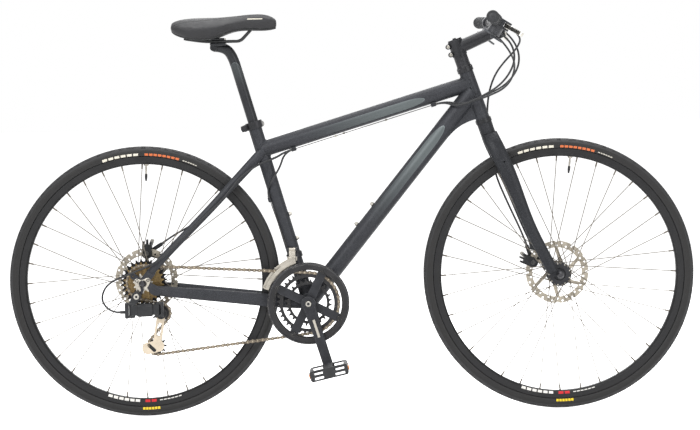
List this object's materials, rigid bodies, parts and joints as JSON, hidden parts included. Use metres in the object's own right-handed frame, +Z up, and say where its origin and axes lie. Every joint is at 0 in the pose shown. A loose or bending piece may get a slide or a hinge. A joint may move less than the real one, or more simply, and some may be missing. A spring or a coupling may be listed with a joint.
{
  "type": "hybrid bike",
  "caption": "Flat-bar hybrid bike with a charcoal frame, rigid fork, disc brakes, derailleur gears and slim tyres.",
  "frame": {"origin": "on the ground midway between the axles, in the bike's middle plane", "axes": "+X forward, +Y to the rider's left, +Z up; the drive side faces -Y"},
  "size_m": [1.7359, 0.6086, 1.0119],
  "materials": {
    "frame_paint": "matte charcoal",
    "black_alloy": "black anodised",
    "bright_alloy": "brushed silver",
    "tyre_rubber": "matte black tread",
    "spoke_steel": "bright steel",
    "chain_steel": "brown oiled steel",
    "grip_rubber": "soft matte",
    "black_plastic": "moulded",
    "cable_jacket": "smooth jacket",
    "saddle_skin": "synthetic skin"
  },
  "bodies": {
    "frame": {"head_tube": "frame_paint", "headset": "black_alloy", "top_tube": "frame_paint", "down_tube": "frame_paint", "seat_tube": "frame_paint", "bottom_bracket": "black_alloy", "rear_stays": "frame_paint", "dropouts": "frame_paint", "seat_clamp": "black_alloy", "frame_fittings": "black_alloy", "frame_cables": "cable_jacket", "rear_caliper": "black_alloy", "derailleur_mount": "black_alloy", "chain": "chain_steel", "rear_axle": "spoke_steel"},
    "fork": {"fork": "frame_paint", "stem": "black_alloy", "handlebar": "black_alloy", "grips": "grip_rubber", "control_units": "black_plastic", "front_caliper": "black_alloy", "front_brake_cable": "cable_jacket", "head_cable_loops": "cable_jacket", "front_axle": "spoke_steel"},
    "front_wheel": {"front_tyre": "tyre_rubber", "front_rim": "black_alloy", "front_spokes": "spoke_steel", "front_hub": "black_alloy", "front_rotor": "spoke_steel"},
    "rear_wheel": {"rear_tyre": "tyre_rubber", "rear_rim": "black_alloy", "rear_spokes": "spoke_steel", "rear_hub": "black_alloy", "rear_rotor": "spoke_steel"},
    "crankset": {"crank_arms": "black_alloy", "chainrings": "chain_steel"},
    "cassette": {"cassette": "chain_steel"},
    "right_pedal": {"pedal_right": "black_plastic"},
    "left_pedal": {"pedal_left": "black_plastic"},
    "rear_derailleur_link": {"derailleur_link": "black_alloy"},
    "rear_derailleur_knuckle": {"derailleur_knuckle": "black_alloy"},
    "rear_derailleur_cage": {"derailleur_cage": "bright_alloy"},
    "guide_pulley": {"guide_pulley": "black_plastic"},
    "tension_pulley": {"tension_pulley": "black_plastic"},
    "front_derailleur_link": {"front_derailleur_link": "bright_alloy"},
    "front_derailleur_cage": {"front_derailleur_cage": "bright_alloy"},
    "right_brake_lever": {"brake_lever_right": "bright_alloy"},
    "left_brake_lever": {"brake_lever_left": "bright_alloy"},
    "front_brake_arm": {"front_caliper_arm": "black_alloy"},
    "rear_brake_arm": {"rear_caliper_arm": "black_alloy"},
    "right_thumb_lever": {"thumb_lever_right": "black_plastic"},
    "left_thumb_lever": {"thumb_lever_left": "black_plastic"},
    "right_release_lever": {"release_lever_right": "black_plastic"},
    "left_release_lever": {"release_lever_left": "black_plastic"},
    "saddle_and_post": {"seatpost": "black_alloy", "saddle_frame": "black_plastic", "saddle_cover": "saddle_skin"},
    "seat_quick_lever": {"seat_qr_lever": "black_alloy"},
    "front_quick_lever": {"front_qr_lever": "black_alloy"},
    "rear_quick_lever": {"rear_qr_lever": "black_alloy"}
  },
  "joints": [
    {"name": "steering", "type": "hinge", "parent": "frame", "child": "fork", "pos_m": [0.34195, 0, 0.73175], "axis": [-0.3223, 0, 0.9466], "range_deg": [-60, 60], "deforming": ["head_cable_loops"]},
    {"name": "front_wheel_spin", "type": "hinge", "parent": "fork", "child": "front_wheel", "pos_m": [0.525, 0, 0.343], "axis": [0, 1, 0], "continuous": true},
    {"name": "rear_wheel_spin", "type": "hinge", "parent": "frame", "child": "rear_wheel", "pos_m": [-0.525, 0, 0.343], "axis": [0, 1, 0], "continuous": true},
    {"name": "crank_spin", "type": "hinge", "parent": "frame", "child": "crankset", "pos_m": [-0.11017, 0, 0.284], "axis": [0, 1, 0], "continuous": true, "deforming": ["chain"]},
    {"name": "cassette_spin", "type": "hinge", "parent": "frame", "child": "cassette", "pos_m": [-0.525, 0, 0.343], "axis": [0, 1, 0], "continuous": true},
    {"name": "right_pedal_spin", "type": "hinge", "parent": "crankset", "child": "right_pedal", "pos_m": [-0.06047, -0.134, 0.12143], "axis": [0, 1, 0], "continuous": true},
    {"name": "left_pedal_spin", "type": "hinge", "parent": "crankset", "child": "left_pedal", "pos_m": [-0.15988, 0.134, 0.44657], "axis": [0, 1, 0], "continuous": true},
    {"name": "rear_shift_link", "type": "hinge", "parent": "frame", "child": "rear_derailleur_link", "pos_m": [-0.552, -0.083, 0.277], "axis": [0, 0, 1], "range_deg": [-21.5, 9]},
    {"name": "rear_shift_knuckle", "type": "hinge", "parent": "rear_derailleur_link", "child": "rear_derailleur_knuckle", "pos_m": [-0.49, -0.0643, 0.277], "axis": [0, 0, 1], "range_deg": [-9, 21.5]},
    {"name": "chain_tension_swing", "type": "hinge", "parent": "rear_derailleur_knuckle", "child": "rear_derailleur_cage", "pos_m": [-0.482, -0.0363, 0.265], "axis": [0, 1, 0], "range_deg": [-55, 15], "stiffness_Nm_per_rad": 0.8},
    {"name": "guide_pulley_spin", "type": "hinge", "parent": "rear_derailleur_cage", "child": "guide_pulley", "pos_m": [-0.482, -0.0363, 0.265], "axis": [0, 1, 0], "continuous": true},
    {"name": "tension_pulley_spin", "type": "hinge", "parent": "rear_derailleur_cage", "child": "tension_pulley", "pos_m": [-0.49588, -0.0363, 0.18236], "axis": [0, 1, 0], "continuous": true},
    {"name": "front_shift_link", "type": "hinge", "parent": "frame", "child": "front_derailleur_link", "pos_m": [-0.14918, -0.027, 0.418], "axis": [1, 0, 0], "range_deg": [-21, 19]},
    {"name": "front_shift_cage", "type": "hinge", "parent": "front_derailleur_link", "child": "front_derailleur_cage", "pos_m": [-0.14918, -0.033, 0.396], "axis": [1, 0, 0], "range_deg": [-19, 21]},
    {"name": "right_brake_squeeze", "type": "hinge", "parent": "fork", "child": "right_brake_lever", "pos_m": [0.39414, -0.16161, 0.96647], "axis": [-0.5404, 0.0397, -0.8404], "range_deg": [0, 22], "stiffness_Nm_per_rad": 0.5, "springref_deg": -20.05},
    {"name": "left_brake_squeeze", "type": "hinge", "parent": "fork", "child": "left_brake_lever", "pos_m": [0.39414, 0.16161, 0.96647], "axis": [0.5404, 0.0397, 0.8404], "range_deg": [0, 22], "stiffness_Nm_per_rad": 0.5, "springref_deg": -20.05},
    {"name": "front_brake_arm_turn", "type": "hinge", "parent": "fork", "child": "front_brake_arm", "pos_m": [0.46333, 0.06, 0.36918], "axis": [0, 1, 0], "range_deg": [0, 22]},
    {"name": "rear_brake_arm_turn", "type": "hinge", "parent": "frame", "child": "rear_brake_arm", "pos_m": [-0.52266, 0.073, 0.40996], "axis": [0, 1, 0], "range_deg": [0, 22]},
    {"name": "right_thumb_push", "type": "hinge", "parent": "fork", "child": "right_thumb_lever", "pos_m": [0.38048, -0.13355, 0.97657], "axis": [0.5404, -0.0397, 0.8404], "range_deg": [0, 30], "stiffness_Nm_per_rad": 0.05, "springref_deg": -17.19},
    {"name": "left_thumb_push", "type": "hinge", "parent": "fork", "child": "left_thumb_lever", "pos_m": [0.38048, 0.13355, 0.97657], "axis": [-0.5404, -0.0397, -0.8404], "range_deg": [0, 30], "stiffness_Nm_per_rad": 0.05, "springref_deg": -17.19},
    {"name": "right_release_push", "type": "hinge", "parent": "fork", "child": "right_release_lever", "pos_m": [0.38048, -0.13355, 0.97657], "axis": [0.5404, -0.0397, 0.8404], "range_deg": [0, 20], "stiffness_Nm_per_rad": 0.03, "springref_deg": -17.19},
    {"name": "left_release_push", "type": "hinge", "parent": "fork", "child": "left_release_lever", "pos_m": [0.38048, 0.13355, 0.97657], "axis": [-0.5404, -0.0397, -0.8404], "range_deg": [0, 20], "stiffness_Nm_per_rad": 0.03, "springref_deg": -17.19},
    {"name": "saddle_height", "type": "slide", "parent": "frame", "child": "saddle_and_post", "axis": [-0.2756, 0, 0.9613], "range_m": [-0.11, 0.04]},
    {"name": "seat_quick_release", "type": "hinge", "parent": "frame", "child": "seat_quick_lever", "pos_m": [-0.26519, 0.024, 0.72485], "axis": [-0.2756, 0, 0.9613], "range_deg": [0, 165]},
    {"name": "front_quick_release", "type": "hinge", "parent": "fork", "child": "front_quick_lever", "pos_m": [0.525, 0.067, 0.343], "axis": [-0.8829, 0, -0.4695], "range_deg": [0, 165]},
    {"name": "rear_quick_release", "type": "hinge", "parent": "frame", "child": "rear_quick_lever", "pos_m": [-0.525, 0.0845, 0.343], "axis": [-0.6691, 0, 0.7431], "range_deg": [0, 165]}
  ],
  "couplings": [
    {"joint": "cassette_spin", "follows": "crank_spin", "ratio": 1.8095},
    {"joint": "guide_pulley_spin", "follows": "crank_spin", "ratio": -3.4545},
    {"joint": "tension_pulley_spin", "follows": "crank_spin", "ratio": 3.4545},
    {"joint": "rear_shift_knuckle", "follows": "rear_shift_link", "ratio": -1},
    {"joint": "front_shift_cage", "follows": "front_shift_link", "ratio": -1},
    {"joint": "front_brake_arm_turn", "follows": "right_brake_squeeze", "ratio": 1},
    {"joint": "rear_brake_arm_turn", "follows": "left_brake_squeeze", "ratio": 1}
  ]
}
